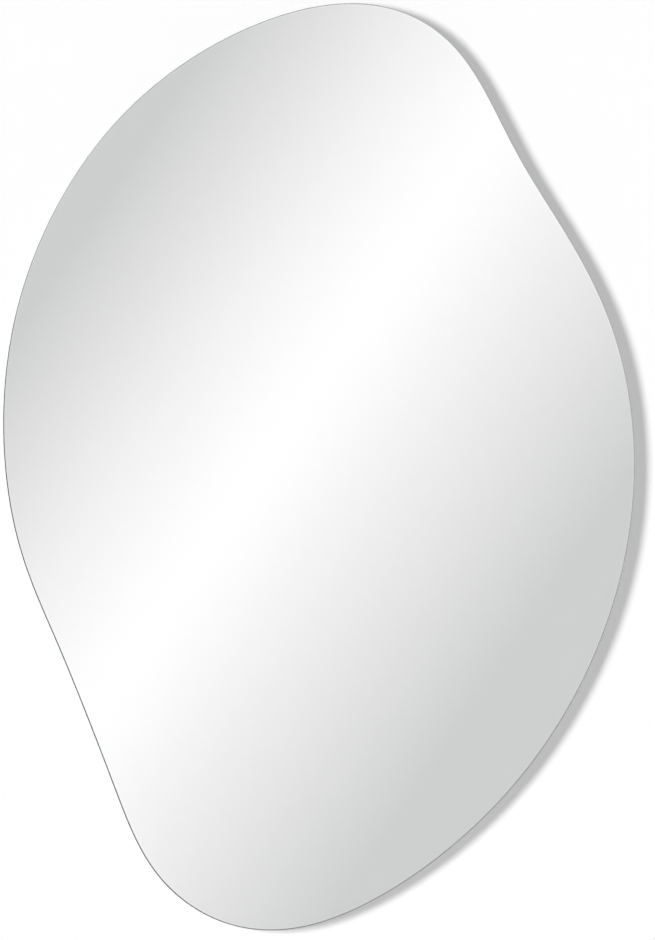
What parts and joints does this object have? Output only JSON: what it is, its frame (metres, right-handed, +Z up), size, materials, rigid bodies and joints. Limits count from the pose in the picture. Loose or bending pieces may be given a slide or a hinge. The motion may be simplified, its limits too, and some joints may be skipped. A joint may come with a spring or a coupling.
{
  "type": "irregular shaped wall mirror",
  "caption": "Frameless wall mirror with a free-form pebble outline, a polished glass edge and a hidden backing board that hooks onto a wall rail.",
  "frame": {"origin": "middle of the wall rail's back face, in the plane of the wall", "axes": "+Z up, +Y into the wall (the glass faces -Y, into the room), +X to the right as seen from the room"},
  "size_m": [0.613, 0.0245, 0.9],
  "materials": {
    "float_glass": "clear float glass with a polished edge and arris",
    "silver": "polished",
    "backing_paint": "satin protective paint, blue grey",
    "foam_tape": "matte closed-cell foam, off white",
    "fibreboard": "raw medium density fibreboard, matte",
    "aluminium": "satin mill finish, extruded",
    "zinc_plate": "bright zinc plate",
    "rubber": "matte"
  },
  "bodies": {
    "wall_side": {"wall_rail": "aluminium"},
    "hanging_mirror": {"mirror_glass": "float_glass", "silver_layer": "silver", "protective_paint": "backing_paint", "mounting_tape_1": "foam_tape", "mounting_tape_2": "foam_tape", "mounting_tape_3": "foam_tape", "mounting_tape_4": "foam_tape", "mounting_tape_5": "foam_tape", "mounting_tape_6": "foam_tape", "mounting_tape_7": "foam_tape", "backing_board": "fibreboard", "mirror_rail": "aluminium", "rail_screw_1": "zinc_plate", "rail_screw_2": "zinc_plate", "rail_screw_3": "zinc_plate", "rail_screw_4": "zinc_plate", "rail_screw_5": "zinc_plate", "bumper_top_left": "rubber", "bumper_top_right": "rubber", "bumper_bottom_left": "rubber", "bumper_bottom_right": "rubber", "bumper_washer_top_left": "zinc_plate", "bumper_washer_top_right": "zinc_plate", "bumper_washer_bottom_left": "zinc_plate", "bumper_washer_bottom_right": "zinc_plate", "bumper_screw_top_left": "zinc_plate", "bumper_screw_top_right": "zinc_plate", "bumper_screw_bottom_left": "zinc_plate", "bumper_screw_bottom_right": "zinc_plate"}
  },
  "joints": [
    {"name": "mirror_lift", "type": "slide", "parent": "wall_side", "child": "hanging_mirror", "axis": [0, 0, 1], "range_m": [0, 0.015]}
  ]
}
